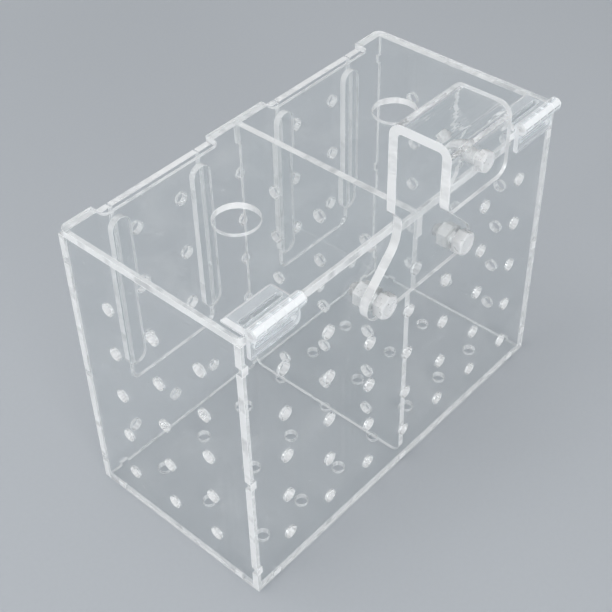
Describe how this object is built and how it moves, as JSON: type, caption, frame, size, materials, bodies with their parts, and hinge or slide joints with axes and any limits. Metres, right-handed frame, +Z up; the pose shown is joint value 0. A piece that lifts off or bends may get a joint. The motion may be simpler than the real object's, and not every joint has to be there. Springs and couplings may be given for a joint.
{
  "type": "fish breeding box",
  "caption": "Clear acrylic aquarium breeding box with water holes, a hinged lid, lift-up gates, a drop-in divider and a bent hanger with a screw that clamps on the tank's rim.",
  "frame": {"origin": "on the underside of the floor, below the middle of the overall box", "axes": "+X along the long walls, +Y from the hanger side to the gate side, +Z up"},
  "size_m": [0.2, 0.1316, 0.201],
  "materials": {
    "acrylic": "clear, polished faces and flame-bright laser-cut edges",
    "nylon": "natural translucent nylon"
  },
  "bodies": {
    "box": {"hanger_side_wall": "acrylic", "gate_side_wall": "acrylic", "left_end_wall": "acrylic", "right_end_wall": "acrylic", "floor_panel": "acrylic", "divider": "acrylic", "left_hinge_wall_leaf": "acrylic", "left_hinge_pin": "nylon", "right_hinge_wall_leaf": "acrylic", "right_hinge_pin": "nylon", "hanger": "acrylic", "left_flange_screw": "nylon", "right_flange_screw": "nylon", "left_flange_nut": "nylon", "right_flange_nut": "nylon"},
    "lid_assembly": {"lid": "acrylic", "left_hinge_lid_leaf": "acrylic", "right_hinge_lid_leaf": "acrylic"},
    "left_gate_assembly": {"left_gate": "acrylic", "left_gate_outer_runner": "acrylic", "left_gate_inner_runner": "acrylic"},
    "right_gate_assembly": {"right_gate": "acrylic", "right_gate_inner_runner": "acrylic", "right_gate_outer_runner": "acrylic"},
    "clamp_screw_body": {"clamp_screw": "nylon"}
  },
  "joints": [
    {"name": "lid_hinge", "type": "hinge", "parent": "box", "child": "lid_assembly", "pos_m": [0, -0.0367, 0.15255], "axis": [1, 0, 0], "range_deg": [0, 88]},
    {"name": "left_gate_lift", "type": "slide", "parent": "box", "child": "left_gate_assembly", "axis": [0, 0, 1], "range_m": [0, 0.08]},
    {"name": "right_gate_lift", "type": "slide", "parent": "box", "child": "right_gate_assembly", "axis": [0, 0, 1], "range_m": [0, 0.08]},
    {"name": "clamp_travel", "type": "slide", "parent": "box", "child": "clamp_screw_body", "axis": [0, -1, 0], "range_m": [0, 0.01]}
  ]
}
